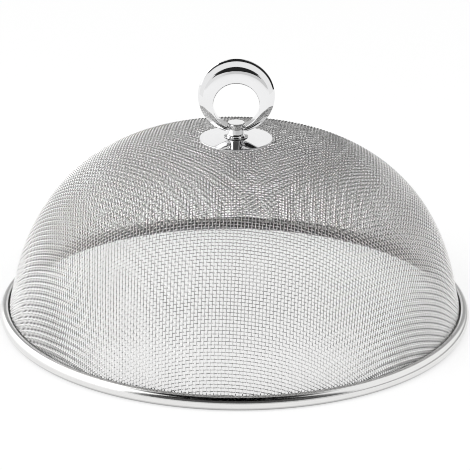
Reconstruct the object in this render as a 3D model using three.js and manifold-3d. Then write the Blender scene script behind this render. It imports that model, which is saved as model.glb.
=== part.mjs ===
// Stainless steel mesh food cover with a swinging ring handle.
// Millimetres, +Z up, origin at the centre of the face that the rim rests on.
// The ring hangs on a hinge along X and stands upright here.

import * as THREE from 'three';
import { mergeVertices } from 'three/addons/utils/BufferGeometryUtils.js';
import Module from 'manifold-3d';

const wasm = await Module();
wasm.setup();

// Driving dimensions of the rolled rim
const rim_outer_radius = 150;
const rim_band_width = 8.4;
const rim_band_height = 8.2;
const rim_rest_depth = 0.4;
const rim_strip_thickness = 0.6;
const hoop_wire_diameter = 3.8;

// Driving dimensions of the wire cloth dome
const mesh_thickness = 1.1;
const mesh_crown_height = 115.6;
const mesh_foot_height = 2.9;
const mesh_flare = 2.6;
const mesh_flare_height = 24;
const mesh_belly_height = 1.7;
const belly_roundness = 2.913;
const crown_roundness = 1.851;
const grid_bar_width = 7;
const grid_rows = 7;
const grid_columns = 24;

// Driving dimensions of the crown plate and the post
const plate_diameter = 46;
const plate_edge_thickness = 0.9;
const plate_rise = 1.0;
const post_height = 9.2;
const post_head_diameter = 10.4;
const post_head_height = 6.3;
const post_waist_diameter = 8.6;
const post_foot_diameter = 15;
const post_foot_height = 2.2;
const post_edge_radius = 0.8;

// Driving dimensions of the ring handle
const ring_outer_diameter = 47.7;
const ring_top_width = 15;
const ring_foot_width = 3.9;
const ring_top_thickness = 8;
const ring_foot_thickness = 4.4;
const ring_pin_drop = 3.85;
const ring_pin_diameter = 3.2;
const ring_pin_length = 2;
const ring_pin_root = 1.2;

// Driving dimensions of the fastening inside the dome
const screw_diameter = 4;
const screw_length = 11;
const screw_head_diameter = 8;
const screw_head_height = 2.6;
const screw_head_round = 1.1;
const screw_recess_length = 4.4;
const screw_recess_width = 1.0;
const screw_recess_depth = 1.5;
const inner_washer_diameter = 24;
const inner_washer_thickness = 1.0;
const inner_washer_chamfer = 0.2;
const lock_washer_diameter = 7.6;
const lock_washer_thickness = 1.0;
const lock_washer_split = 0.8;

// Clearances
const seat_gap = 0.3;
const hole_gap = 0.3;
const pin_gap = 0.3;
const side_gap = 0.35;
const cut_overrun = 2;

// Facet counts
const plate_segments = 48;
const small_segments = 32;
const line_steps = 400;
const band_steps = 20;
const cavity_steps = 12;
const wire_steps = 8;
const ring_steps = 48;
const ring_section_steps = 16;

// Finishes
const woven_steel = { color: 0xb4b4b2, roughness: 0.42, metalness: 1 };
const polished_steel = { color: 0xd6d5d3, roughness: 0.12, metalness: 1 };
const chrome_plate = { color: 0xe4e4e6, roughness: 0.05, metalness: 1 };
const plain_steel = { color: 0xa8a8a8, roughness: 0.35, metalness: 1 };

// Solids

// Drops everything but the positions, joins equal points and drops empty triangles.
function closed(geometry) {
  const bare = geometry.clone();
  bare.deleteAttribute('normal');
  bare.deleteAttribute('uv');
  const merged = mergeVertices(bare);
  const old_index = merged.index.array;
  const index = [];
  for (let i = 0; i < old_index.length; i += 3) {
    const [a, b, c] = [old_index[i], old_index[i + 1], old_index[i + 2]];
    if (a !== b && b !== c && c !== a) index.push(a, b, c);
  }
  merged.setIndex(index);
  return merged;
}

function to_solid(geometry) {
  const merged = closed(geometry);
  return new wasm.Manifold(new wasm.Mesh({
    numProp: 3,
    vertProperties: new Float32Array(merged.attributes.position.array),
    triVerts: new Uint32Array(merged.index.array),
  }));
}

function to_geometry(solid) {
  const mesh = solid.getMesh();
  const geometry = new THREE.BufferGeometry();
  geometry.setAttribute('position', new THREE.BufferAttribute(mesh.vertProperties, 3));
  geometry.setIndex(new THREE.BufferAttribute(mesh.triVerts, 1));
  geometry.computeVertexNormals();
  return geometry;
}

// Turns an outline of [radius, height] points about +Z.
// The outline runs from the bottom up on its outer side, or round a closed loop.
function turned(outline, segments) {
  const points = outline.map(([radius, height]) => new THREE.Vector2(radius, height));
  return new THREE.LatheGeometry(points, segments).rotateX(Math.PI / 2);
}

// Parts that meet the cloth are turned with three facets to each column of its grid:
// one as wide as an upright bar, and two across the opening beside it.
// An opening faces each way along X and Y.
const column_turn = (2 * Math.PI) / grid_columns;
const column_facets = 3;
const grid_facets = column_facets * grid_columns;

function facet_turn(facet, radius) {
  const half_bar = Math.asin(Math.min(grid_bar_width / 2 / radius, 1));
  const half_turn = Math.min(half_bar, column_turn / column_facets);
  const column = Math.floor(facet / column_facets);
  const from_bar = [-half_turn, half_turn, column_turn / 2][facet % column_facets];
  return (column + 1 / 2) * column_turn + from_bar;
}

function turned_with_grid(outline) {
  const geometry = turned(outline, grid_facets);
  const place = geometry.attributes.position;
  for (let i = 0; i < place.count; i++) {
    const radius = outline[i % outline.length][0];
    const turn = facet_turn(Math.floor(i / outline.length), radius);
    place.setXY(i, radius * Math.sin(turn), -radius * Math.cos(turn));
  }
  return geometry;
}

function loop(points) {
  return [...points, points[0]];
}

function part(name, geometry, finish) {
  const mesh = new THREE.Mesh(closed(geometry), new THREE.MeshStandardMaterial(finish));
  mesh.geometry.computeVertexNormals();
  mesh.name = name;
  return mesh;
}

// The rolled rim
// The band's section is an oval, cut flat underneath where it rests.
const band_center_radius = rim_outer_radius - rim_band_width / 2;
const band_oval_height = rim_band_height + rim_rest_depth;
const band_center_height = rim_band_height - band_oval_height / 2;

function band_oval(inset, steps) {
  const points = [];
  for (let step = 0; step < steps; step++) {
    const turn = (2 * Math.PI * step) / steps;
    const radius = band_center_radius + (rim_band_width / 2 - inset) * Math.cos(turn);
    const height = band_center_height + (band_oval_height / 2 - inset) * Math.sin(turn);
    points.push([radius, Math.max(height, inset)]);
  }
  return points;
}

const cavity_outer_radius = rim_outer_radius - rim_strip_thickness;
const hoop_radius = hoop_wire_diameter / 2;
const hoop_center_radius = cavity_outer_radius - seat_gap - hoop_radius;

function hoop_section() {
  const points = [];
  for (let step = 0; step < wire_steps; step++) {
    const turn = (2 * Math.PI * step) / wire_steps;
    points.push([
      hoop_center_radius + hoop_radius * Math.cos(turn),
      band_center_height + hoop_radius * Math.sin(turn),
    ]);
  }
  return points;
}

// The wire cloth dome
// Its outer line is a rounded oval from the belly to the crown, flared out at the foot.
const mesh_foot_radius = hoop_center_radius - hoop_radius - seat_gap;
const belly_radius = mesh_foot_radius - mesh_flare;
const crown_over_belly = mesh_crown_height - mesh_belly_height;
const plate_radius = plate_diameter / 2;
const screw_hole_radius = screw_diameter / 2 + hole_gap;
const flare_rise = mesh_flare_height - mesh_foot_height;

// Radius of the cloth's outer face at an angle from the belly (0) to the crown (a right angle).
function dome_point(angle) {
  const height = mesh_belly_height + crown_over_belly * Math.sin(angle) ** (2 / crown_roundness);
  const oval = belly_radius * Math.cos(angle) ** (2 / belly_roundness);
  const below_flare = Math.max(mesh_flare_height - height, 0) / flare_rise;
  return [oval + mesh_flare * below_flare ** 2, height];
}

// The outer line in short steps from the foot to the plate's edge, as [radius, height, run],
// where run is the length of cloth from the foot.
function measured_line() {
  const foot_share = (mesh_foot_height - mesh_belly_height) / crown_over_belly;
  const foot_angle = Math.asin(foot_share ** (crown_roundness / 2));
  const flat_share = plate_radius / belly_radius;
  const flat_angle = Math.acos(flat_share ** (belly_roundness / 2));
  const points = [];
  let run = 0;
  for (let step = 0; step <= line_steps; step++) {
    const angle = THREE.MathUtils.lerp(foot_angle, flat_angle, step / line_steps);
    const [radius, height] = dome_point(angle);
    const [last_radius, last_height] = points.at(-1) ?? [radius, height];
    run += Math.hypot(radius - last_radius, height - last_height);
    points.push([radius, height, run]);
  }
  return points;
}

const measured = measured_line();

function line_at(distance) {
  const [radius, height] = measured.find(([, , run]) => run >= distance);
  return [radius, height];
}

// The fine weave is shown as a coarse grid, with about twelve of its meshes to each opening.
// The rows of openings lie between a bar above the rim and a bar round the crown plate.
const grid_from = measured.find(
  ([, height]) => height > rim_band_height + grid_bar_width / 2)[2];
const grid_to = measured.find(([radius]) => radius < plate_radius + grid_bar_width / 2)[2];
const row_pitch = (grid_to - grid_from + grid_bar_width) / grid_rows;

// The line bends at the lower and upper side of each opening.
// Up to the plate's edge, the cloth is clamped flat between the crown plate and the washer.
function dome_line() {
  const points = [line_at(0)];
  for (let row = 0; row < grid_rows; row++) {
    const opening_from = grid_from + row * row_pitch;
    points.push(line_at(opening_from));
    points.push(line_at(opening_from + row_pitch - grid_bar_width));
  }
  points.push([plate_radius, mesh_crown_height]);
  points.push([screw_hole_radius, mesh_crown_height]);
  return points;
}

// Moves each point of a line square to it, inwards for a positive distance.
function offset_line(line, distance) {
  return line.map(([radius, height], i) => {
    const before = line[Math.max(i - 1, 0)];
    const after = line[Math.min(i + 1, line.length - 1)];
    const run = [after[0] - before[0], after[1] - before[1]];
    const length = Math.hypot(run[0], run[1]);
    return [radius - (distance * run[1]) / length, height + (distance * run[0]) / length];
  });
}

// A closed outline between two offsets of the cloth's outer line, up to one of its points.
function cloth_layer(outward, inward, count) {
  const line = dome_line();
  const outside = offset_line(line, -outward).slice(0, count);
  const inside = offset_line(line, inward).slice(0, count);
  return loop([...outside, ...inside.reverse()]);
}

const slot_steps = dome_line().findIndex(([, height]) => height > mesh_flare_height);

// Says whether a facet of a step of the line is part of an opening.
// Near the crown, where openings would be narrower than the bars, every second bar is left out.
function is_open(line, step, facet) {
  if (step % 2 === 0 || step > 2 * grid_rows) return false;
  if (facet % column_facets !== 0) return true;
  const column_width = ((line[step][0] + line[step + 1][0]) / 2) * column_turn;
  const bar = facet / column_facets;
  return column_width < 2 * grid_bar_width && bar % 2 === 1;
}

// The cloth is a shell between an outer and an inner line, with its openings left out.
// Each cell has a face outside and one inside, and a side wherever the next cell isn't cloth.
function mesh_dome() {
  const line = dome_line();
  const steps = line.length - 1;
  const layers = [line, offset_line(line, mesh_thickness)];
  const places = layers.flatMap((layer) => layer.flatMap(([radius, height]) => {
    const turns = Array.from({ length: grid_facets }, (_, facet) => facet_turn(facet, radius));
    return turns.flatMap((turn) => [radius * Math.sin(turn), -radius * Math.cos(turn), height]);
  }));
  const wrapped = (facet) => (facet + grid_facets) % grid_facets;
  const is_cloth = (step, facet) => (
    step >= 0 && step < steps && !is_open(line, step, wrapped(facet)));
  const corners = [[0, 0], [0, 1], [1, 1], [1, 0]];
  const neighbours = [[-1, 0], [0, 1], [1, 0], [0, -1]];
  const index = [];
  const add_face = (a, b, c, d) => index.push(a, b, c, a, c, d);
  for (let step = 0; step < steps; step++) {
    for (let facet = 0; facet < grid_facets; facet++) {
      if (!is_cloth(step, facet)) continue;
      const [outer, inner] = [0, 1].map((layer) => corners.map(([up, on]) => (
        (layer * line.length + step + up) * grid_facets + wrapped(facet + on))));
      add_face(...outer);
      add_face(...inner.toReversed());
      neighbours.forEach(([up, on], from) => {
        if (is_cloth(step + up, facet + on)) return;
        const to = (from + 1) % corners.length;
        add_face(outer[to], outer[from], inner[from], inner[to]);
      });
    }
  }
  const geometry = new THREE.BufferGeometry();
  geometry.setAttribute('position', new THREE.Float32BufferAttribute(places, 3));
  geometry.setIndex(index);
  return geometry;
}

function rim_band() {
  const outside = to_solid(turned_with_grid(loop(band_oval(0, band_steps))));
  const cavity = loop(band_oval(rim_strip_thickness, cavity_steps));
  const hollow = to_solid(turned_with_grid(cavity));
  const slot_section = cloth_layer(seat_gap, mesh_thickness + seat_gap, slot_steps + 1);
  const slot = to_solid(turned_with_grid(slot_section));
  return to_geometry(outside.subtract(hollow.add(slot)));
}

// Heights along the screw's axis
// Above the cloth: the crown plate and the post.
const plate_bottom = mesh_crown_height + seat_gap;
const plate_edge_top = plate_bottom + plate_edge_thickness;
const plate_top = plate_edge_top + plate_rise;
const post_bottom = plate_top + seat_gap;
const post_top = post_bottom + post_height;
const head_bottom = post_top - post_head_height;
const pivot_height = post_top - ring_pin_drop;

// Below the cloth: the two washers and the screw's head.
const inner_washer_top = mesh_crown_height - mesh_thickness - seat_gap;
const inner_washer_bottom = inner_washer_top - inner_washer_thickness;
const lock_washer_top = inner_washer_bottom - seat_gap;
const lock_washer_bottom = lock_washer_top - lock_washer_thickness;
const screw_head_top = lock_washer_bottom - seat_gap;
const screw_head_bottom = screw_head_top - screw_head_height;
const screw_tip = screw_head_top + screw_length;
const tapped_depth = screw_tip + hole_gap - post_bottom;

// The crown plate
// It lies on the cloth and rises a little from its edge to the post's foot.
const plate_edge_radius = plate_edge_thickness / 2;
const foot_radius = post_foot_diameter / 2;

const crown_plate = turned(loop([
  [screw_hole_radius, plate_bottom],
  [plate_radius - plate_edge_radius, plate_bottom],
  [plate_radius, plate_bottom + plate_edge_radius],
  [plate_radius - plate_edge_radius, plate_edge_top],
  [(plate_radius + foot_radius) / 2, (plate_edge_top + plate_top) / 2],
  [foot_radius, plate_top],
  [screw_hole_radius, plate_top],
]), plate_segments);

// The post
// A turned spool on the crown plate, with a socket on each side for the ring's pins.
const head_radius = post_head_diameter / 2;
const waist_radius = post_waist_diameter / 2;
const pin_radius = ring_pin_diameter / 2;
const arm_end = head_radius + side_gap;

function handle_post() {
  const socket_depth = ring_pin_length + side_gap + pin_gap;
  const blank = to_solid(turned([
    [0, post_bottom],
    [foot_radius - post_edge_radius, post_bottom],
    [foot_radius, post_bottom + post_foot_height / 4],
    [(foot_radius + waist_radius) / 2, post_bottom + post_foot_height / 2],
    [waist_radius, post_bottom + post_foot_height],
    [waist_radius, head_bottom - post_edge_radius],
    [head_radius, head_bottom],
    [head_radius, post_top - post_edge_radius],
    [head_radius - post_edge_radius, post_top],
    [0, post_top],
  ], small_segments));
  const tapped = new THREE.CylinderGeometry(
    screw_hole_radius, screw_hole_radius, tapped_depth + cut_overrun, small_segments);
  tapped.rotateX(Math.PI / 2);
  tapped.translate(0, 0, post_bottom + (tapped_depth - cut_overrun) / 2);
  let solid = blank.subtract(to_solid(tapped));
  for (const side of [-1, 1]) {
    const socket = new THREE.CylinderGeometry(
      pin_radius + pin_gap, pin_radius + pin_gap, socket_depth + cut_overrun, small_segments);
    socket.rotateZ(Math.PI / 2);
    const socket_center = arm_end + (cut_overrun - socket_depth) / 2;
    socket.translate(side * socket_center, 0, pivot_height);
    solid = solid.subtract(to_solid(socket));
  }
  return to_geometry(solid);
}

// The ring
// Its outer circle and its hole are not concentric, so it thins towards the post.
const ring_radius = ring_outer_diameter / 2;
const hole_radius = (ring_outer_diameter - ring_top_width - ring_foot_width) / 2;
const circle_shift = (ring_top_width - ring_foot_width) / 2;

// The pins leave the ring halfway between the two circles, where the post's head cuts them.
const outer_drop = Math.sqrt(ring_radius ** 2 - arm_end ** 2);
const hole_drop = Math.sqrt(hole_radius ** 2 - arm_end ** 2);
const ring_center_height = pivot_height + (outer_drop + hole_drop + circle_shift) / 2;
const hole_center_height = ring_center_height - circle_shift;

// A unit torus is reshaped: reach runs from -1 on the hole's circle to 1 on the outer circle.
const unit_torus_radius = 2;

function crescent() {
  const geometry = new THREE.TorusGeometry(
    unit_torus_radius, 1, ring_section_steps, ring_steps);
  const place = geometry.attributes.position;
  for (let i = 0; i < place.count; i++) {
    const turn = Math.atan2(place.getY(i), place.getX(i));
    const reach = Math.hypot(place.getX(i), place.getY(i)) - unit_torus_radius;
    const lift = (1 + Math.sin(turn)) / 2;
    const thickness = THREE.MathUtils.lerp(ring_foot_thickness, ring_top_thickness, lift);
    const across = ((1 + reach) * ring_radius + (1 - reach) * hole_radius) / 2;
    const height = ((1 + reach) * ring_center_height + (1 - reach) * hole_center_height) / 2;
    place.setXYZ(
      i,
      across * Math.cos(turn),
      -(thickness / 2) * place.getZ(i),
      height + across * Math.sin(turn),
    );
  }
  return geometry;
}

function ring_handle() {
  const gap = new THREE.BoxGeometry(
    2 * arm_end, ring_foot_thickness + 2 * cut_overrun, ring_foot_width + 2 * cut_overrun);
  gap.translate(0, 0, pivot_height);
  let solid = to_solid(crescent()).subtract(to_solid(gap));
  for (const side of [-1, 1]) {
    const reach_in = ring_pin_length + side_gap;
    const pin = new THREE.CylinderGeometry(
      pin_radius, pin_radius, reach_in + ring_pin_root, small_segments / 2);
    pin.rotateZ(Math.PI / 2);
    pin.translate(side * (arm_end + (ring_pin_root - reach_in) / 2), 0, pivot_height);
    solid = solid.add(to_solid(pin));
  }
  return to_geometry(solid);
}

// The fastening inside the dome
const screw_radius = screw_diameter / 2;
const washer_radius = inner_washer_diameter / 2;

const inner_washer = turned(loop([
  [screw_hole_radius, inner_washer_bottom],
  [washer_radius - inner_washer_chamfer, inner_washer_bottom],
  [washer_radius, inner_washer_bottom + inner_washer_chamfer],
  [washer_radius, inner_washer_top],
  [screw_hole_radius, inner_washer_top],
]), plate_segments);

function lock_washer() {
  const washer = to_solid(turned(loop([
    [screw_hole_radius, lock_washer_bottom],
    [lock_washer_diameter / 2, lock_washer_bottom],
    [lock_washer_diameter / 2, lock_washer_top],
    [screw_hole_radius, lock_washer_top],
  ]), small_segments));
  const split = new THREE.BoxGeometry(
    lock_washer_split, lock_washer_diameter, lock_washer_thickness + 2 * cut_overrun);
  split.translate(0, lock_washer_diameter / 2, (lock_washer_bottom + lock_washer_top) / 2);
  return to_geometry(washer.subtract(to_solid(split)));
}

function handle_screw() {
  const head_radius_flat = screw_head_diameter / 2 - screw_head_round;
  const blank = to_solid(turned([
    [0, screw_head_bottom],
    [head_radius_flat, screw_head_bottom],
    [screw_head_diameter / 2, screw_head_bottom + screw_head_round],
    [screw_head_diameter / 2, screw_head_top],
    [screw_radius, screw_head_top],
    [screw_radius, screw_tip - screw_radius / 4],
    [(screw_radius * 3) / 4, screw_tip],
    [0, screw_tip],
  ], small_segments));
  const recess_height = screw_recess_depth + cut_overrun;
  const recess_center = screw_head_bottom + (screw_recess_depth - cut_overrun) / 2;
  const slot_x = new THREE.BoxGeometry(screw_recess_length, screw_recess_width, recess_height);
  const slot_y = new THREE.BoxGeometry(screw_recess_width, screw_recess_length, recess_height);
  slot_x.translate(0, 0, recess_center);
  slot_y.translate(0, 0, recess_center);
  return to_geometry(blank.subtract(to_solid(slot_x)).subtract(to_solid(slot_y)));
}

// The assembly
const cover = new THREE.Group();
cover.name = 'mesh_food_cover';
cover.add(part('mesh_dome', mesh_dome(), woven_steel));
cover.add(part('rim_band', rim_band(), polished_steel));
cover.add(part('hoop_wire', turned_with_grid(loop(hoop_section())), plain_steel));
cover.add(part('crown_plate', crown_plate, chrome_plate));
cover.add(part('handle_post', handle_post(), chrome_plate));
cover.add(part('ring_handle', ring_handle(), chrome_plate));
cover.add(part('inner_washer', inner_washer, plain_steel));
cover.add(part('lock_washer', lock_washer(), plain_steel));
cover.add(part('handle_screw', handle_screw(), plain_steel));

export default cover;
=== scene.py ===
# %% [markdown]
# # A woven steel food cover
# The cover is a dome of woven wire cloth with a rolled rim round its edge, and a ring handle on a
# small post at its top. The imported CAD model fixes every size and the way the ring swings. Blender
# adds what a plain solid can't show: every single wire of the cloth, the rolled strip of the rim,
# the soft corners of the turned parts, and steel that mirrors a bright studio.

import math

import bmesh
import bpy
import numpy as np
from mathutils import Matrix, Vector


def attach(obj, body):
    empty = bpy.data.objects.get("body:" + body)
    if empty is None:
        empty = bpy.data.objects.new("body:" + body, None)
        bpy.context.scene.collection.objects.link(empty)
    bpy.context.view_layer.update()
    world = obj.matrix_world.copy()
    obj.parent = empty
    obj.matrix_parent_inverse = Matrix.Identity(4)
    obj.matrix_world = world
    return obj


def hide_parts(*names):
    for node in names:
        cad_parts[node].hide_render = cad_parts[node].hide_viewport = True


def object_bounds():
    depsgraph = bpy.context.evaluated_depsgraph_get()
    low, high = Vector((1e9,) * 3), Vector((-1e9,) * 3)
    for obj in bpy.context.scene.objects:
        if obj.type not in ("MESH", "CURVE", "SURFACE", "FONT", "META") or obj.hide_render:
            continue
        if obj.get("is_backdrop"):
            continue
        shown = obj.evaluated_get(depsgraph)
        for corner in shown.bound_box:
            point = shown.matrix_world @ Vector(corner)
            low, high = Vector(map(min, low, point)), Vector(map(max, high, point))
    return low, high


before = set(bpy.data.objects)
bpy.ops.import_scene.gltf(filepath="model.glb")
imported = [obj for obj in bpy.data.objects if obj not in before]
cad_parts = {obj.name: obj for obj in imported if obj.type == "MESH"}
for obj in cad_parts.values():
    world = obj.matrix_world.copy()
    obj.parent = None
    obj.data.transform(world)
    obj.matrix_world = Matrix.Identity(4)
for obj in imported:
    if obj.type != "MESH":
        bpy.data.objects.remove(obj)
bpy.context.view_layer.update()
mm = 0.001

# %% [markdown]
# Blender keeps what a thing is, its data, apart from where it stands, its object, and an object
# shows only once a collection holds it. The camera, the lamps and every piece need both steps, so
# they go into one small helper.

# %% Things in the scene
def placed(name, data):
    """A new object in the scene that shows this data."""
    thing = bpy.data.objects.new(name, data)
    bpy.context.scene.collection.objects.link(thing)
    return thing


# %% [markdown]
# ## The camera
# The photograph was taken from well back with a long lens, so the near and far side of the rim
# look almost equally wide. The camera stands 1.4 m away and 21 degrees above the cover, and its
# lens gives the picture's scale. A very small roll about the line of sight levels the rim as in
# the picture.

# %% The camera
camera_place = Vector((-0.09, -1322.9, 569.5)) * mm
camera_target = Vector((-0.09, 0.0, 51.8)) * mm
picture_side = 470
focal_length_in_pixels = 2238.7
sensor_side = 36.0
camera_roll = 0.0092

camera_data = bpy.data.cameras.new("camera")
camera_data.sensor_width = sensor_side
camera_data.lens = focal_length_in_pixels * sensor_side / picture_side
camera_data.clip_end = 50
camera = placed("camera", camera_data)
bpy.context.scene.camera = camera

sight = camera_target - camera_place
aim = sight.to_track_quat("-Z", "Y").to_matrix() @ Matrix.Rotation(camera_roll, 3, "Z")
camera.matrix_world = Matrix.Translation(camera_place) @ aim.to_4x4()
print("lens", round(camera_data.lens, 1), "mm, distance", round(sight.length, 3), "m")

# %% [markdown]
# ## Shader maths as Python
# A material is a small network of nodes. Wiring each node by hand hides the idea behind it, so one
# class wraps an output socket and lets it be added and multiplied like a number. Each expression
# adds its Math nodes. Any other node comes from one method, which sets the node up first and then
# joins its inputs.


# %% Shader maths
class Field:
    """A value that changes over a surface: one output socket of a node tree."""

    def __init__(self, tree, socket):
        self.tree = tree
        self.socket = socket

    def maths(self, operation, first, second=0.0, clamp=False):
        settings = {"operation": operation, "use_clamp": clamp}
        return self.tree.add("Math", settings, {0: first, 1: second})

    def __add__(self, other):
        return self.maths("ADD", self, other)

    __radd__ = __add__

    def __sub__(self, other):
        return self.maths("SUBTRACT", self, other)

    def __rsub__(self, other):
        return self.maths("SUBTRACT", other, self)

    def __mul__(self, other):
        return self.maths("MULTIPLY", self, other)

    __rmul__ = __mul__

    def clamped(self):
        return self.maths("ADD", self, 0.0, clamp=True)


class Tree:
    """A node tree and the one method that adds nodes to it."""

    def __init__(self, owner):
        owner.use_nodes = True
        self.nodes = owner.node_tree.nodes
        self.links = owner.node_tree.links
        self.nodes.clear()

    def add(self, kind, settings=None, inputs=None, output=0):
        node = self.nodes.new("ShaderNode" + kind)
        for name, value in (settings or {}).items():
            setattr(node, name, value)
        for name, value in (inputs or {}).items():
            if isinstance(value, Field):
                self.links.new(value.socket, node.inputs[name])
            else:
                node.inputs[name].default_value = value
        return Field(self, node.outputs[output]) if node.outputs else None

    def ramp(self, factor, *stops):
        blend = self.add("ValToRGB", {}, {"Fac": factor})
        elements = blend.socket.node.color_ramp.elements
        while len(elements) < len(stops):
            elements.new(0.5)
        for element, (position, colour) in zip(elements, stops):
            element.position = position
            element.color = (*colour, 1)
        return blend


print("shader maths ready")

# %% [markdown]
# ## The studio
# The picture is a bright one: the cover stands on a white floor that runs into a white wall.
# Polished steel has no colour of its own, so the room is its paint, and the photographer's room is
# read from the steel: a large soft box stands on the left and a smaller one on the right, both from
# the floor to well above the cover. The wall behind the camera is bright only low down, and the
# wall behind the cover only near its middle. Above the camera and at the ceiling the room is dark.
# That dark ceiling gives the rim its black line and the cloth its dark crossings.
#
# The room could be modelled with panels and walls. Painting it by direction is lighter and easier
# to tune: a window is one between two angles and fades out past them, and a soft box is a window
# across times a window up, times its level.


# %% The room by direction
def window(angle, start, stop, soft):
    """One between two angles in degrees, fading out past each."""
    edges = []
    for edge in (start, stop):
        sockets = {"Value": angle, "From Min": edge - soft, "From Max": edge + soft}
        edges.append(angle.tree.add("MapRange", {"interpolation_type": "SMOOTHSTEP"}, sockets))
    return edges[0] - edges[1]


def room_reflections(tree):
    """The level of the room's white by direction, as steel mirrors it."""
    way = tree.add("TexCoord", output="Generated")
    parts = tree.add("SeparateXYZ", {}, {0: way}).socket.node.outputs
    right, away, up = (Field(tree, part) for part in parts)
    degrees = 180 / math.pi
    rise = tree.add("Math", {"operation": "ARCSINE"}, {0: up}) * degrees
    from_front = tree.add("Math", {"operation": "ARCTAN2"}, {0: right, 1: 0 - away}) * degrees
    from_back = tree.add("Math", {"operation": "ARCTAN2"}, {0: right, 1: away}) * degrees
    left, right = window(from_front, -152, -52, 4), window(from_front, 56, 150, 4)
    front_left, front_right = window(from_front, -52, -8, 5), window(from_front, -8, 56, 5)
    front = front_left + front_right
    beside_back = window(from_back, -28, -8, 2) + window(from_back, 8, 30, 2)
    back = window(from_back, -8, 8, 2)
    soft_boxes = [  # level, stretch of the wall, lowest and highest angle, softness of these edges
        (1.75, left, 12, 66, 4),
        (1.20, left, -20, 12, 4),
        (1.05, right, 12, 68, 4),
        (0.45, right, -20, 12, 4),
        (0.87, front_left, -20, 16, 1),
        (0.68, front_right, -20, 16, 1),
        (0.08, front, 16, 50, 2),
        (0.55, beside_back, -20, 14, 3),
        (0.40, beside_back, 14, 50, 4),
        (1.00, back, -20, 24.6, 0.2),
        (1.00, back, 25.8, 27.2, 0.2),
    ]
    return sum(level * (wall * window(rise, *angles)) for level, wall, *angles in soft_boxes)


# %% [markdown]
# The camera has to see plain white, reflections have to see the painted room, and everything else
# gets a moderate even light. The Light Path node tells which kind of ray is asking. It only knows
# a mirrored ray by itself if the lamp search leaves the world out, hence the sampling setting.

# %% The white room
ambient_level = 0.55


def kinds_of_ray(tree):
    """Two masks: one for mirrored rays, and one for all rays that a viewer looks along."""
    rays = tree.add("LightPath").socket.node.outputs
    mirrored = Field(tree, rays["Is Glossy Ray"])
    direct, through = Field(tree, rays["Is Camera Ray"]), Field(tree, rays["Is Transmission Ray"])
    return mirrored, (direct + mirrored + through).clamped()


world = bpy.data.worlds.new("studio")
bpy.context.scene.world = world
room = Tree(world)
mirrored, seen = kinds_of_ray(room)
shade = 1 - mirrored * (1 - room_reflections(room))
white = room.add("CombineColor", {}, {0: shade, 1: shade, 2: shade})
strength = seen * (1 - ambient_level) + ambient_level
room_light = room.add("Background", {}, {"Color": white, "Strength": strength})
room.add("OutputWorld", {}, {"Surface": room_light})
world.cycles.sampling_method = "NONE"
print("nodes that paint the room:", len(room.nodes))

# %% [markdown]
# The floor is one pale grey square. It glows a little to the camera, which takes it up to the white
# of the wall, while the soft shadow of the cover still falls on its grey. From below it is clear,
# so that the inside of the cover can be looked at.

# %% The floor
floor_grey = (0.45, 0.45, 0.45, 1)
floor_glow = 0.66
floor_half_side = 6.0

floor_form = bmesh.new()
bmesh.ops.create_grid(floor_form, x_segments=1, y_segments=1, size=floor_half_side)
floor_mesh = bpy.data.meshes.new("floor")
floor_form.to_mesh(floor_mesh)
floor_form.free()
floor = placed("floor", floor_mesh)
floor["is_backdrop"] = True

floor_paint = bpy.data.materials.new("floor_white")
tree = Tree(floor_paint)
_, seen = kinds_of_ray(tree)
matt = tree.add("BsdfDiffuse", {}, {"Color": floor_grey})
glow = tree.add("Emission", {}, {"Color": (1, 1, 1, 1), "Strength": seen * floor_glow})
both = tree.add("AddShader", {}, {0: matt, 1: glow})
from_below = tree.add("NewGeometry", output="Backfacing")
clear = tree.add("BsdfTransparent")
one_sided = tree.add("MixShader", {}, {0: from_below, 1: both, 2: clear})
tree.add("OutputMaterial", {}, {"Surface": one_sided})
floor_paint.cycles.emission_sampling = "NONE"
floor_mesh.materials.append(floor_paint)
print("floor", 2 * floor_half_side, "m wide")

# %% [markdown]
# Two large soft lamps light the floor and give it the soft shadow of the cover. Reflections skip
# them, because in a thousand thin wires a lamp would be a thousand sparks that the photograph
# doesn't have. The soft boxes of the room take their place there.

# %% Soft lamps
def soft_lamp(name, place, side, power):
    """A square lamp that faces the cover and that nothing mirrors."""
    data = bpy.data.lights.new(name, "AREA")
    data.shape = "SQUARE"
    data.size = side
    data.energy = power
    lamp = placed(name, data)
    place = Vector(place)
    facing = place.to_track_quat("Z", "Y").to_matrix().to_4x4()
    lamp.matrix_world = Matrix.Translation(place) @ facing
    lamp.visible_glossy = False
    print(name, "of", power, "W,", side, "m wide")


soft_lamp("lamp_left", place=(-1.6, -0.9, 2.2), side=1.4, power=18)
soft_lamp("lamp_right", place=(1.6, -0.6, 2.2), side=1.4, power=10)

# %% [markdown]
# ## Finishes
# All of the cover is steel, but each part has its own surface. The wire is drawn through a die, so it is
# less than a mirror. Where one wire dips under another, light hardly reaches it and the polishing wheel
# never did. So a colour ramp paints shade into the hollows, darkest on the side of the wires that faces
# into the dome, and paints the crowns of the weave bright: partly real polish, partly painted light. Each
# point of the cloth knows how proud it stands, as an attribute of the mesh, and the colour ramp turns that
# into steel, with a little noise for wear and for stains from washing.

# %% Woven wire
polish_and_shade_depth = 0.57  # how far below the middle of the cloth it reaches, in wire thicknesses
unevenness = 0.3
hollow_roughness = 0.24
smoothed_by_wear = 0.12

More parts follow.
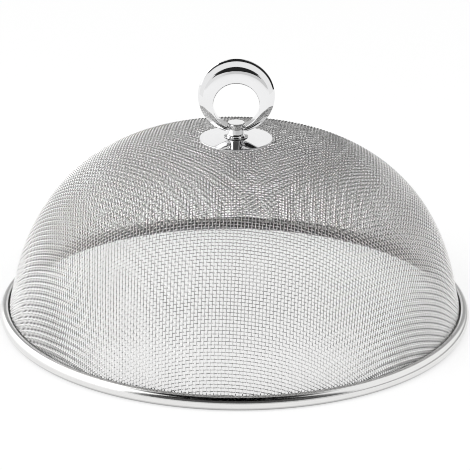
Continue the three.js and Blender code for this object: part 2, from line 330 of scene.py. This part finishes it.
woven_wire = bpy.data.materials.new("woven_wire")
tree = Tree(woven_wire)
place = tree.add("TexCoord", output="Object")
proud = tree.add("Attribute", {"attribute_name": "proud"}, output="Fac")
tone = tree.add("TexNoise", {}, {"Vector": place, "Scale": 22.0, "Detail": 3.0})
grain = tree.add("TexNoise", {}, {"Vector": place, "Scale": 2600.0, "Detail": 2.0})
# Painted shade and light: what lies deep in the cloth is darkened nearly to black, and what stands proud is
# lightened and made smoother.
polish_and_shade = (proud + polish_and_shade_depth + (grain - 0.5) * unevenness + (tone - 0.5) * unevenness).clamped()
colour = tree.ramp(
    polish_and_shade,
    (0.0, (0.07, 0.069, 0.067)),
    (0.42, (0.30, 0.297, 0.293)),
    (0.58, (0.88, 0.875, 0.87)),
    (1.0, (0.93, 0.925, 0.92)),
)
roughness = hollow_roughness - polish_and_shade * smoothed_by_wear
surface = {"Base Color": colour, "Metallic": 1.0, "Roughness": roughness}
tree.add("OutputMaterial", {}, {"Surface": tree.add("BsdfPrincipled", {}, surface)})
print("nodes in the finish of the wire:", len(tree.nodes))


# %% [markdown]
# The strip, the plate and the post are polished while they turn, so their faint lines run round the axis.
# Noise that is stretched round the axis gives those lines, both as a small change of roughness and as a
# very shallow bump. A second, rounder noise gives smudges. The cast ring has the chrome of the plate, whose
# lines are too faint to show a direction. Two bands of the strip get painted shade and are rougher too: the
# lip, where the cloth goes in, is painted nearly black, and the part that is turned to the table is painted
# dark grey.

# %% Polished metal
def from_axis(tree):
    """The distance from the Z axis."""
    place = tree.add("TexCoord", output="Object")
    flat_place = tree.add("VectorMath", {"operation": "MULTIPLY"}, {0: place, 1: (1, 1, 0)})
    return tree.add("VectorMath", {"operation": "LENGTH"}, {0: flat_place}, output="Value")


def ring_lines(tree, fine, long_way):
    """Noise drawn out round the Z axis, as polishing a turning part leaves it."""
    place = tree.add("TexCoord", output="Object")
    parts = tree.add("SeparateXYZ", {}, {0: place}).socket.node.outputs
    along, up = Field(tree, parts["X"]), Field(tree, parts["Z"])
    drawn_out = {0: from_axis(tree) * fine, 1: up * fine, 2: along * long_way}
    stretched = tree.add("CombineXYZ", {}, drawn_out)
    return tree.add("TexNoise", {}, {"Vector": stretched, "Scale": 1.0, "Detail": 3.0})


def toward(tree, share, colour, other):
    """A colour that goes over into another by a share. Mix keeps its colour sockets at 6 and 7."""
    mixed = {"Factor": share, 6: colour, 7: other}
    return tree.add("Mix", {"data_type": "RGBA"}, mixed, output=2)


def polished(name, colour, roughness, fine, long_way, line_depth, shade_inside=None, shade_below=None):
    """A polished finish. A band of painted shade is given as where it starts and stops in metres, and its
    grey.
    """
    smudge_share, least_shine, dulled_by = 0.5, 0.94, 0.15
    material = bpy.data.materials.new(name)
    tree = Tree(material)
    lines = ring_lines(tree, fine, long_way)
    place = tree.add("TexCoord", output="Object")
    smudge = tree.add("TexNoise", {}, {"Vector": place, "Scale": 60.0, "Detail": 4.0})
    dull = roughness + (lines - 0.5) * roughness + (smudge - 0.5) * roughness
    dark = tuple(least_shine * part for part in colour)
    marks = smudge * smudge_share + lines * (1 - smudge_share)
    tint = tree.ramp(marks, (0.3, dark), (0.7, colour))
    painted_shade_bands = []
    if shade_inside:
        painted_shade_bands.append((from_axis(tree), *shade_inside))
    if shade_below:
        painted_shade_bands.append((tree.add("SeparateXYZ", {}, {0: place}, output="Z"), *shade_below))
    # Each band paints shade: its grey is mixed into the tint, and the band is made rougher as well.
    for measure, start, stop, grey in painted_shade_bands:
        share = (1 - (measure - start) * (1 / (stop - start))).clamped()
        tint = toward(tree, share, tint, (grey, grey, grey, 1))
        dull = dull + share * dulled_by
    relief = tree.add("Bump", {}, {"Height": lines, "Strength": 0.3, "Distance": line_depth})
    surface = {"Base Color": tint, "Metallic": 1.0, "Roughness": dull, "Normal": relief}
    tree.add("OutputMaterial", {}, {"Surface": tree.add("BsdfPrincipled", {}, surface)})
    return material


polished_strip = polished(
    "polished_strip",
    colour=(0.81, 0.807, 0.80),
    roughness=0.17,
    fine=2500,
    long_way=12,
    line_depth=0.00001,
    # Painted shade: the lip, where the cloth goes in, nearly black, and the foot, turned to the table, dark
    # grey.
    shade_inside=(0.1446, 0.1450, 0.04),
    shade_below=(0.0002, 0.0026, 0.20),
)
chrome = polished(
    "chrome", colour=(0.86, 0.86, 0.865), roughness=0.035, fine=1500, long_way=60, line_depth=0.000002
)
plain_steel = polished(
    "plain_steel", colour=(0.62, 0.615, 0.61), roughness=0.30, fine=2500, long_way=40, line_depth=0.00002
)
print("finishes:", [m.name for m in (woven_wire, polished_strip, chrome, plain_steel)])

# %% [markdown]
# ## The wire cloth
# The cloth is woven flat and square, and then pressed over a dome. A wire can't stretch, so each
# little square of the weave keeps its sides and folds into a diamond instead. That decides where
# every wire runs: start with the two wires that cross at the crown and lie on straight lines down
# the dome, and the fourth corner of each square is the point of the dome that is one mesh away
# from its two neighbours. The result is the pattern of a real pressed cover, square along the
# two middle lines and drawn to narrow diamonds towards the corners between them.

# %% The shape of the dome
wire_thickness = 0.55
weave_pitch = 2.117
crown_height = 115.6
belly_height = 1.7
belly_radius = 142.4
belly_roundness = 2.913
crown_roundness = 1.851
flare = 2.6
flare_height = 24.0
foot_height = 2.9
plate_radius = 23.0
free_cloth = 3.5
screw_hole_radius = 2.3
spare_edge = 6.0
spare_lean = 0.1
points_on_dome = 3000
points_under_plate = 200
inner_height = 20.0

foot_share = (foot_height - belly_height) / (crown_height - belly_height)
foot_angle = math.asin(foot_share ** (crown_roundness / 2))
free_angle = math.acos(((plate_radius + free_cloth) / belly_radius) ** (belly_roundness / 2))
angle = np.linspace(free_angle, foot_angle, points_on_dome)
height = belly_height + (crown_height - belly_height) * np.sin(angle) ** (2 / crown_roundness)
radius = belly_radius * np.cos(angle) ** (2 / belly_roundness)
radius += flare * (np.maximum(flare_height - height, 0) / (flare_height - foot_height)) ** 2
flat = np.linspace(0, plate_radius, points_under_plate)
radius = np.concatenate([flat, radius, radius[-1:] + spare_edge * spare_lean])
height = np.concatenate([0 * flat + crown_height, height, height[-1:] - spare_edge])

slope_radius, slope_height = np.gradient(radius), np.gradient(height)
slope_length = np.hypot(slope_radius, slope_height)
out_radius, out_height = -slope_height / slope_length, slope_radius / slope_length
line_radius = radius - wire_thickness * out_radius
line_height = height - wire_thickness * out_height
line_radius[0] = 0
steps = np.hypot(np.diff(line_radius), np.diff(line_height))
line_run = np.concatenate([[0], np.cumsum(steps)])
edge_run = line_run[-2]
line_angle = np.arctan2(line_radius, line_height - inner_height)
print("from the crown to the edge:", round(float(edge_run), 1), "mm of cloth")


# %% [markdown]
# Two small tools find places on the cloth. The first takes points near the dome and drops them onto
# it along a line from a point inside. The second starts from a guess for the fourth corner of a
# mesh and corrects it until it is one pitch from both its neighbours. Both work on whole arrays
# of points at once, so the cloth's thousands of crossings take a moment.

# %% Points on the cloth
corrections = 14


def on_cloth(point):
    """Drops points onto the middle of the cloth. Gives their run from the crown and the way out too."""
    turn = np.arctan2(point[..., 1], point[..., 0])
    lean = np.arctan2(np.hypot(point[..., 0], point[..., 1]), point[..., 2] - inner_height)
    across, up, run, out, rise = (
        np.interp(lean, line_angle, values)
        for values in (line_radius, line_height, line_run, out_radius, out_height)
    )
    place = np.stack([across * np.cos(turn), across * np.sin(turn), up], -1)
    way_out = np.stack([out * np.cos(turn), out * np.sin(turn), rise], -1)
    return place, run, way_out


def fourth_corner(first, second, guess):
    """The point of the cloth that is one mesh from two others."""
    point = guess
    for _ in range(corrections):
        point = on_cloth(point)[0]
        to_first, to_second = point - first, point - second
        first_length = np.linalg.norm(to_first, axis=-1, keepdims=True)
        second_length = np.linalg.norm(to_second, axis=-1, keepdims=True)
        to_first, to_second = to_first / first_length, to_second / second_length
        cosine = (to_first * to_second).sum(-1, keepdims=True)
        first_miss, second_miss = weave_pitch - first_length, weave_pitch - second_length
        spread = 1 - cosine**2
        point = point + to_first * (first_miss - cosine * second_miss) / spread
        point = point + to_second * (second_miss - cosine * first_miss) / spread
    return on_cloth(point)[0]


edge_point = on_cloth(np.array([belly_radius, 0.0, belly_height]))[0]
print("the cloth beside the rim, in mm:", [round(float(part), 1) for part in edge_point])

# %% [markdown]
# One quarter of the net is worked out, diagonal by diagonal, and mirrored into the other three. The
# wires of the real cover are turned a little against the camera, so the net is turned by three
# degrees at the end.

# %% The net of crossings
cloth_turn = math.radians(-3)
last_run = edge_run + spare_edge * 0.8
count = int(edge_run / weave_pitch) + 3
quarter = np.full((count + 1, count + 1, 3), np.nan)
runs = np.arange(count + 1) * weave_pitch
across, up = (np.interp(runs, line_run, values) for values in (line_radius, line_height))
middle_line = np.stack([across, 0 * runs, up], -1)
quarter[:, 0] = middle_line
quarter[0, :] = middle_line[:, [1, 0, 2]]
for diagonal in range(2, 2 * count + 1):
    i = np.arange(max(1, diagonal - count), min(count, diagonal - 1) + 1)
    j = diagonal - i
    found = ~np.isnan(quarter[i - 1, j, 0] + quarter[i, j - 1, 0] + quarter[i - 1, j - 1, 0])
    i, j = i[found], j[found]
    if not len(i):
        break
    first, second, before = quarter[i - 1, j], quarter[i, j - 1], quarter[i - 1, j - 1]
    corner = fourth_corner(first, second, first + second - before)
    corner[on_cloth(corner)[1] > last_run] = np.nan
    quarter[i, j] = corner

side = np.arange(-count, count + 1)
net = quarter[np.abs(side)[:, None], np.abs(side)[None, :]].copy()
mirrored_side = np.where(side < 0, -1, 1)
net[..., 0] *= mirrored_side[:, None]
net[..., 1] *= mirrored_side[None, :]
outside = np.isnan(net[..., 0])
net = net @ np.array(Matrix.Rotation(cloth_turn, 3, "Z")).T
_, net_run, net_out = on_cloth(np.nan_to_num(net))
net_run[outside] = np.inf
in_cloth = (net_run <= edge_run) & (net_run > screw_hole_radius + wire_thickness)
net_lift = (side[:, None] + side[None, :]) % 2 * 2 - 1
print("crossings in the cloth:", int(in_cloth.sum()))

# %% [markdown]
# Each wire passes over one neighbour and under the next. Between the crossings it is straight, and
# it bends only where it rests on the other wire, so two points on each side of every crossing give
# the shape. The bend isn't shared evenly: in the photograph the wires that run away from the camera
# look like smooth white bars, and the others like short dark dashes between them. So the first
# stay nearly straight and the others do most of the bending round them.
#
# Every wire is a poly line with a round bevel: a curve is the natural tool for something that has
# a path and a thickness, and Blender works out the tube.

# %% One wire
knuckle = 0.2
fewest_crossings = 3
tube_resolution = 1
tube_sides = 6


def wire_paths(line, run, out, lift, kept):
    """The stretches of one wire, as arrays of points along its middle."""
    paths = []
    ends = np.flatnonzero(np.diff(np.concatenate([[0], kept.astype(int), [0]])))
    for start, stop in ends.reshape(-1, 2):
        if stop - start < fewest_crossings:
            continue
        crossing = line[start:stop]
        along = np.gradient(crossing, axis=0)
        along /= np.linalg.norm(along, axis=1, keepdims=True)
        raised = crossing + out[start:stop] * (lift[start:stop, None] * wire_thickness / 2)
        points = np.stack([raised - along * knuckle, raised + along * knuckle], 1).reshape(-1, 3)
        for outer, inner, put in ((start - 1, start, 0), (stop, stop - 1, len(points))):
            if 0 <= outer < len(run) and np.isfinite(run[outer]) and run[outer] > edge_run:
                share = (edge_run - run[inner]) / (run[outer] - run[inner])
                if share > 2 * knuckle / weave_pitch:
                    last = line[inner] + (line[outer] - line[inner]) * share
                    points = np.insert(points, put, last, axis=0)
        paths.append(points)
    return paths


print("wires in each direction:", int(in_cloth.any(axis=0).sum()), int(in_cloth.any(axis=1).sum()))

# %% [markdown]
# The wires become mesh in groups of neighbours, because one mesh of them all would be too heavy to
# handle. Each group gets its ends closed, a UV map with a column for each wire, and the attribute
# that tells how proud each point stands.

# %% The cloth in strips
faces_in_strip = 85000
column_margin, end_margin = 0.05, 0.01
bends = {"across": 1.5, "along": -0.5}  # in half wire thicknesses; below zero is the other way


def as_mesh(thing):
    """The mesh of an object with its bevel or modifiers worked out."""
    return bpy.data.meshes.new_from_object(thing.evaluated_get(bpy.context.evaluated_depsgraph_get()))


def wires_as_mesh(name, paths):
    """Sweeps a round tube along each path and closes its ends."""
    curve = bpy.data.curves.new(name, "CURVE")
    curve.dimensions = "3D"
    curve.bevel_depth = wire_thickness / 2 * mm
    curve.bevel_resolution = tube_resolution
    for points in paths:
        wire = curve.splines.new("POLY")
        wire.points.add(len(points) - 1)
        places = np.ones((len(points), 4))
        places[:, :3] = points * mm
        wire.points.foreach_set("co", places.ravel())
    sweep = placed(name, curve)
    mesh = as_mesh(sweep)
    bpy.data.objects.remove(sweep)
    tubes = bmesh.new()
    tubes.from_mesh(mesh)
    open_ends = [edge for edge in tubes.edges if edge.is_boundary]
    bmesh.ops.holes_fill(tubes, edges=open_ends, sides=tube_sides)
    tubes.to_mesh(mesh)
    tubes.free()
    mesh.name = name
    return mesh


def give_each_wire_a_column(mesh, paths):
    """Lays the wires side by side in a UV map, so that a bake of the strip stays sharp."""
    corner_points = np.empty(len(mesh.loops), np.int32)
    mesh.loops.foreach_get("vertex_index", corner_points)
    last_corners = np.cumsum([len(points) * tube_sides for points in paths])
    wire = np.searchsorted(last_corners, corner_points, "right")
    layer = mesh.uv_layers[0]
    layer.name = "OFBake"
    spots = np.empty(2 * len(mesh.loops))
    layer.uv.foreach_get("vector", spots)
    along, around = spots[0::2].copy(), spots[1::2].copy()
    spots[0::2] = (wire + column_margin + (1 - 2 * column_margin) * around) / len(paths)
    spots[1::2] = end_margin + (1 - 2 * end_margin) * along
    layer.uv.foreach_set("vector", spots)


def strip_of_cloth(name, paths):
    """One piece of the cloth: a group of neighbouring wires of one direction."""
    mesh = wires_as_mesh(name, paths)
    give_each_wire_a_column(mesh, paths)
    mesh.materials.clear()
    mesh.materials.append(woven_wire)
    places = np.empty(3 * len(mesh.vertices))
    mesh.vertices.foreach_get("co", places)
    places = places.reshape(-1, 3) / mm
    middle, _, out = on_cloth(places)
    proud = ((places - middle) * out).sum(1) / wire_thickness
    mesh.attributes.new("proud", "FLOAT", "POINT").data.foreach_set("value", proud)
    mesh.shade_smooth()
    piece = placed(name, mesh)
    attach(piece, "root")
    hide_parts("mesh_dome")
    print(name, "wires:", len(paths), "faces:", len(mesh.polygons))


for family, bend in bends.items():
    wires = []
    for k in range(len(side)):
        pick = (slice(None), k) if family == "across" else (k, slice(None))
        lift = bend * net_lift[pick]
        wires += wire_paths(net[pick], net_run[pick], net_out[pick], lift, in_cloth[pick])
    faces_so_far = np.cumsum([len(points) * tube_sides for points in wires])
    strip_count = math.ceil(faces_so_far[-1] / faces_in_strip)
    strip_ends = np.arange(1, strip_count) * faces_so_far[-1] / strip_count
    cuts = np.searchsorted(faces_so_far, strip_ends)
    for number, group in enumerate(np.split(np.arange(len(wires)), cuts)):
        strip_of_cloth(f"cloth_{family}_{number + 1}", [wires[k] for k in group])

# %% [markdown]
# ## Turned parts
# The rim, the plate and the post are all round about one axis, so each is an outline that is spun
# round it. The outline's corners are rounded before the spin, which costs nothing and gives every
# edge the small bright line that a real edge has.

# %% Helpers for solid parts
merge_distance = 1e-7
corner_steps = 5
z_axis = (0, 0, 1)
sharp_angle = 35


def spun(outline, corners, steps, closed=True):
    """Turns an outline of (radius, height) points about the Z axis, with some corners rounded."""
    form = bmesh.new()
    points = [form.verts.new((across * mm, 0, up * mm)) for across, up in outline]
    for first, second in zip(points, points[1:]):
        form.edges.new((first, second))
    if closed:
        form.edges.new((points[-1], points[0]))
    for index, size in corners.items():
        bmesh.ops.bevel(
            form, geom=[points[index]], offset=size * mm, offset_type="OFFSET",
            segments=corner_steps, profile=0.5, affect="VERTICES", material=-1,
        )
    full_turn(form, steps)
    return form


def full_turn(form, steps):
    """Spins all that a bmesh holds once round the Z axis and closes the seam."""
    bmesh.ops.spin(
        form, geom=form.verts[:] + form.edges[:], cent=(0, 0, 0), axis=z_axis,
        angle=math.tau, steps=steps, use_merge=True,
    )
    bmesh.ops.remove_doubles(form, verts=form.verts, dist=merge_distance)
    bmesh.ops.recalc_face_normals(form, faces=form.faces)


def finished(name, form, material, body, slot, *nodes, sharp=sharp_angle):
    """Makes a bmesh a piece, at the origin, with its finish, its body and the node it replaces."""
    mesh = bpy.data.meshes.new(name)
    form.to_mesh(mesh)
    form.free()
    mesh.materials.append(material)
    mesh.shade_smooth()
    mesh.set_sharp_from_angle(angle=math.radians(sharp))
    piece = placed(name, mesh)
    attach(piece, body)
    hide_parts(*nodes)
    print(name, "faces:", len(mesh.polygons))
    return piece


print("corners are rounded in", corner_steps, "steps")

# %% [markdown]
# ## The rolled rim
# The rim is a strip of thin steel that was folded round the edge of the cloth and a hoop of wire,
# and then rolled smooth. It starts as a circle: scaled to the section's oval, flattened where it
# rests, and opened where the cloth goes in. After the spin a Solidify modifier gives the strip its
# thickness.

# %% The rolled rim
rim_radius = 150.0
rim_width = 8.4
rim_oval_height = 8.6
rim_middle = Vector((rim_radius - rim_width / 2, 0, 3.9))
strip_thickness = 0.6
lip_from, lip_to = math.radians(111), math.radians(143)
section_points = 90
rim_steps = 256

rim_form = bmesh.new()
bmesh.ops.create_circle(rim_form, cap_ends=False, radius=1, segments=section_points)
upright = Matrix.Rotation(math.pi / 2, 3, "X")
bmesh.ops.rotate(rim_form, verts=rim_form.verts, cent=(0, 0, 0), matrix=upright)
mouth = [v for v in rim_form.verts if lip_from < math.atan2(v.co.z, v.co.x) < lip_to]
bmesh.ops.delete(rim_form, geom=mouth, context="VERTS")
half_width = (rim_width - strip_thickness) / 2
half_height = (rim_oval_height - strip_thickness) / 2
bmesh.ops.scale(rim_form, vec=Vector((half_width, 1, half_height)) * mm, verts=rim_form.verts)
bmesh.ops.translate(rim_form, vec=rim_middle * mm, verts=rim_form.verts)
for v in rim_form.verts:
    v.co.z = max(v.co.z, strip_thickness / 2 * mm)
full_turn(rim_form, rim_steps)
rolled_rim = finished(
    "rolled_rim", rim_form, polished_strip, "root", "polished_steel", "rim_band", sharp=60
)
wall = rolled_rim.modifiers.new("wall", "SOLIDIFY")
wall.thickness = strip_thickness * mm
wall.offset = 0

# %% [markdown]
# ## The crown plate
# The plate is a thin disc, a very flat cone with a rounded edge. Smooth shading would blend the
# slope into the edge over its whole width and bend the reflections, so the outline has extra
# points close to both ends of the slope.

# %% The crown plate
plate_bottom, plate_edge_top, plate_top = 115.9, 116.85, 117.8
post_foot_radius = 7.5
plate_slope = [
    (
        plate_radius + share * (post_foot_radius - plate_radius),
        plate_edge_top + share * (plate_top - plate_edge_top),
    )
    for share in (0.05, 0.1, 0.3, 0.5, 0.7, 0.9, 0.95)
]
plate_form = spun(
    [
        (screw_hole_radius, plate_bottom),
        (plate_radius, plate_bottom),
        (plate_radius, plate_edge_top),
        *plate_slope,
        (post_foot_radius, plate_top),
        (screw_hole_radius, plate_top),
    ],
    corners={1: 0.3, 2: 0.4},
    steps=160,
)
finished("crown_plate_disc", plate_form, chrome, "root", "chrome_plate", "crown_plate")

# %% [markdown]
# ## The post
# The post is turned from bar: a spread foot, a waist, and a head that is a little wider. Its
# outline starts and ends on the axis, so the spin closes it at both ends. The corners to round are
# named by their place in the outline, and each has its own size.

# %% The post
post_bottom, post_top = 118.1, 127.3
post_waist_radius, post_head_radius = 4.6, 5.2
post_form = spun(
    [
        (0, post_bottom),
        (post_foot_radius, post_bottom),
        (post_foot_radius, 118.4),
        (6.0, 118.8),
        *((post_waist_radius, up) for up in (120.0, 120.5, 122.0, 124.0, 125.6, 125.9)),
        (post_head_radius, 126.5),
        (post_head_radius, post_top),
        (post_waist_radius, post_top),
        (0, post_top),
    ],
    corners={1: 0.15, 2: 0.15, 4: 0.6, 8: 0.3, 9: 0.3, 10: 0.35},
    steps=96,
    closed=False,
)
post = finished("turned_post", post_form, chrome, "root", "chrome_plate", "handle_post")

# %% [markdown]
# The ring's two pins turn in sockets drilled across the post. A Boolean modifier takes the drill's
# shape out, and the result is kept as the post's mesh.

# %% The sockets in the post
pivot_height = 123.45
socket_radius = 1.9
socket_depth = 3.1
socket_middle = 4.45


def bar_across(form, middle, radius, length, sides):
    """Adds a round bar along X to a bmesh, at the height of the ring's hinge."""
    bar = bmesh.ops.create_cone(
        form, cap_ends=True, segments=sides, radius1=radius * mm, radius2=radius * mm, depth=length * mm,
    )["verts"]
    bmesh.ops.rotate(form, verts=bar, cent=(0, 0, 0), matrix=Matrix.Rotation(math.pi / 2, 3, "Y"))
    bmesh.ops.translate(form, verts=bar, vec=Vector((middle, 0, pivot_height)) * mm)


drill_form = bmesh.new()
for way in (-1, 1):
    bar_across(drill_form, way * socket_middle, socket_radius, socket_depth, sides=40)
drill_mesh = bpy.data.meshes.new("drill")
drill_form.to_mesh(drill_mesh)
drill_form.free()
drill = placed("drill", drill_mesh)
drilling = post.modifiers.new("sockets", "BOOLEAN")
drilling.object = drill
drilling.solver = "EXACT"
drilled = as_mesh(post)
post.modifiers.clear()
post.data = drilled
drilled.set_sharp_from_angle(angle=math.radians(sharp_angle))
bpy.data.objects.remove(drill)
print("post with sockets, faces:", len(drilled.polygons))

# %% [markdown]
# ## The ring
# The ring is cast. Its hole is lower than its outer circle, so it is broad at the top and slim at
# the post. Its faces are gently domed near the hole and fall away more steeply towards the edge,
# which is round. The dark crescent in the photograph sits where the slope changes.
#
# A torus has the wrong section and can't change its width. So the section is drawn by shares: 0 is
# the rim of the hole, 1 is the outer edge, and the height goes from 1 on the face to 0 at the edge.
# The section is spun once as a plain ring and then every point moves to its place between the two
# circles, which squeezes the section to the width that the crescent has there.

# %% The section of the ring
ring_outer_radius = 23.84
ring_hole_radius = 14.4
ring_middle_height = 144.47
hole_middle_height = 138.9
ring_half_thickness = 4.0
ring_width_at_top = 15.0
lean_at_share = {0.1: 0, 0.55: 10, 0.61: 17, 0.72: 22, 0.96: 23}  # in degrees
points_on_face, points_on_edge = 97, 16

face_share = np.linspace(0, max(lean_at_share), points_on_face)
face_lean = np.interp(face_share, list(lean_at_share), np.radians(list(lean_at_share.values())))
face_drop = np.cumsum(np.tan(face_lean)) * ring_width_at_top * face_share[1]
last_share, last_lean = face_share[-1], face_lean[-1]
edge_turn = np.linspace(last_lean, math.pi / 2, points_on_edge)[1:]
edge_radius = (1 - last_share) * ring_width_at_top / (1 - math.sin(last_lean))
edge_reach = np.sin(edge_turn) - math.sin(last_lean)
edge_share = last_share + edge_radius / ring_width_at_top * edge_reach
edge_drop = face_drop[-1] + edge_radius * (math.cos(last_lean) - np.cos(edge_turn))
section_share = np.append(face_share, edge_share)
section_height = 1 - np.append(face_drop, edge_drop) / edge_drop[-1]
print("the face falls by", round(float(edge_drop[-1]), 2), "mm to the edge")

# %% [markdown]
# Two helpers give places on the ring. The first turns a share of the width, a turn round the hole
# and a height of the section into a point, by going part of the way from the circle of the hole to
# the outer circle. The second looks up the height of the face itself, which the cards below need.

# %% Places on the ring
def ring_place(share, turn, height):
    """The point a share of the way from hole to edge, at a turn from +X and a height of the section."""
    radius_here = ring_hole_radius + share * (ring_outer_radius - ring_hole_radius)
    middle_here = hole_middle_height + share * (ring_middle_height - hole_middle_height)
    up = middle_here + radius_here * math.sin(turn)
    return Vector((radius_here * math.cos(turn), -height * ring_half_thickness, up)) * mm


def on_ring_face(share, turn):
    """The point of the front face at a share of its width and a turn."""
    return ring_place(share, turn, float(np.interp(share, section_share, section_height)))


print("top of the ring in mm:", round(ring_place(1, math.pi / 2, 0).z / mm, 2))

# %% [markdown]
# The spun ring is cut on both sides of the post, the bit between is taken out, the arm ends get
# caps with a small bevel, and each gets a pin. The cut is told which faces, edges and points it
# may touch, so that the upper half stays whole, and each of them has to be named once only.

# %% The ring
arm_end = 5.55
arm_end_bevel = 0.25
pin_radius = 1.6
pin_length = 3.55
pin_middle = 4.975
hole_circle = 2  # where the section is spun as a plain ring; any width does
hole_corner = [(0, 0.86), (0.006, 0.93), (0.018, 0.975), (0.035, 0.995)]
face_shares, edge_shares = range(6, points_on_face, 5), range(points_on_face + 1, len(section_share) - 1, 2)
kept_shares = [*face_shares, points_on_face - 1, *edge_shares]  # the corner between them counts twice
front = hole_corner + [(float(section_share[k]), float(section_height[k])) for k in kept_shares]
section = front + [(1.0, 0.0)] + [(share, -height) for share, height in reversed(front)]
ring_form = spun([(hole_circle + share, height) for share, height in section], corners={}, steps=144)
for v in ring_form.verts:
    share = math.hypot(v.co.x, v.co.y) / mm - hole_circle
    v.co = ring_place(share, math.atan2(v.co.y, v.co.x), v.co.z / mm)


def faces_below_the_hole():
    """The faces of the lower half of the ring, which hold the arms and the bit between them."""
    return [f for f in ring_form.faces if f.calc_center_median().z < hole_middle_height * mm]


for way in (-1, 1):
    low = faces_below_the_hole()
    edges, points = (e for f in low for e in f.edges), (v for f in low for v in f.verts)
    parts = [*dict.fromkeys(edges), *dict.fromkeys(points), *low]
    bmesh.ops.bisect_plane(
        ring_form, geom=parts, dist=merge_distance, plane_co=(way * arm_end * mm, 0, 0), plane_no=(1, 0, 0),
    )
between = [f for f in faces_below_the_hole() if abs(f.calc_center_median().x) < arm_end * mm]
bmesh.ops.delete(ring_form, geom=between, context="FACES")
ends = [e for e in ring_form.edges if e.is_boundary]
bmesh.ops.holes_fill(ring_form, edges=ends, sides=0)
bmesh.ops.bevel(
    ring_form, geom=ends, offset=arm_end_bevel * mm, offset_type="OFFSET", segments=3, profile=0.5,
    affect="EDGES", material=-1,
)
for way in (-1, 1):
    bar_across(ring_form, way * pin_middle, pin_radius, pin_length, sides=32)
bmesh.ops.recalc_face_normals(ring_form, faces=ring_form.faces)
finished("cast_ring", ring_form, chrome, "ring", "chrome_plate", "ring_handle")

# %% [markdown]
# A photographer shapes the reflections in polished metal with cards: a black one draws a dark line
# and a white one a bright band. To find where a card has to hang, a line of sight is followed from
# the camera to the ring and back out along its reflection. Each card is a bent strip, made of such
# points along a stretch of the ring, so its picture in the ring is exactly as wide as planned. Only
# reflections see the cards.

# %% Cards for the ring
card_distance = 0.09
card_rows, card_columns = 41, 7
nearby = 0.002


def mirrored_point(share, turn):
    """A point that the camera sees in the ring's face at a share of its width and a turn."""
    here = on_ring_face(share, turn)
    across = on_ring_face(share + nearby, turn) - on_ring_face(share - nearby, turn)
    along = on_ring_face(share, turn + nearby) - on_ring_face(share, turn - nearby)
    normal = along.cross(across).normalized()
    return here + (here - camera_place).normalized().reflect(normal) * card_distance


def bent_card(name, stretch, shares_at, level):
    """A glowing strip between two angles from the ring's top and between two shares of its width."""
    form = bmesh.new()
    rows = []
    for way in np.linspace(0, 1, card_rows):
        from_top = math.radians(stretch[0] + (stretch[1] - stretch[0]) * way)
        shares = np.linspace(*shares_at(2 * way - 1), card_columns)
        rows.append([form.verts.new(mirrored_point(share, math.pi / 2 - from_top)) for share in shares])
    for row, next_row in zip(rows, rows[1:]):
        for k in range(len(row) - 1):
            form.faces.new((row[k], row[k + 1], next_row[k + 1], next_row[k]))
    mesh = bpy.data.meshes.new(name)
    form.to_mesh(mesh)
    form.free()
    piece = placed(name, mesh)
    for kind in ("camera", "diffuse", "shadow", "transmission", "volume_scatter"):
        setattr(piece, "visible_" + kind, False)
    paint = bpy.data.materials.new(name)
    tree = Tree(paint)
    glow = tree.add("Emission", {}, {"Color": (level, level, level, 1), "Strength": 1.0})
    tree.add("OutputMaterial", {}, {"Surface": glow})
    paint.cycles.emission_sampling = "NONE"
    mesh.materials.append(paint)
    piece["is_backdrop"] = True
    heights = [corner[2] / mm for corner in piece.bound_box]
    print(name, "lowest and highest in mm:", round(min(heights)), round(max(heights)))


black, white_card = 0.02, 0.95
bent_card(
    "card_crescent",
    stretch=(-47, 47),
    shares_at=lambda way: (0.55 + 0.08 * way**2, 0.695 - 0.05 * way**2),
    level=black,
)
bent_card("card_band", (-86, 80), lambda way: (0.70 - 0.03 * way**2, 0.915), level=white_card)
bent_card("card_edge", (-28, 78), lambda way: (0.925, 0.99), level=black)

# %% [markdown]
# ## The fastening
# Inside the dome are a broad washer, a split lock washer and a screw with a cross recess, and the
# rim is rolled round a hoop of wire. They are plain turned and bent parts, and what there is to see
# of them is in their CAD solids already. They keep their shape and get the duller steel.

# %% The fastening
for node in ("hoop_wire", "inner_washer", "lock_washer", "handle_screw"):
    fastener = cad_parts[node]
    fastener.data.materials.clear()
    fastener.data.materials.append(plain_steel)
    print(node, "in plain steel, faces:", len(fastener.data.polygons))

# %% [markdown]
# ## The picture
# The view transform is the plain one, so a colour comes out about as it is written. The wires are
# hardly more than a pixel apart, and a pixel that borrows much from its neighbours would wash the
# weave out, so the filter round each pixel is a little narrower than usual.

# %% The picture
bpy.context.scene.view_settings.view_transform = "Standard"
bpy.context.scene.cycles.filter_width = 1.0
low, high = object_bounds()
print("visual box in mm:", [round(side / mm, 2) for side in high - low])
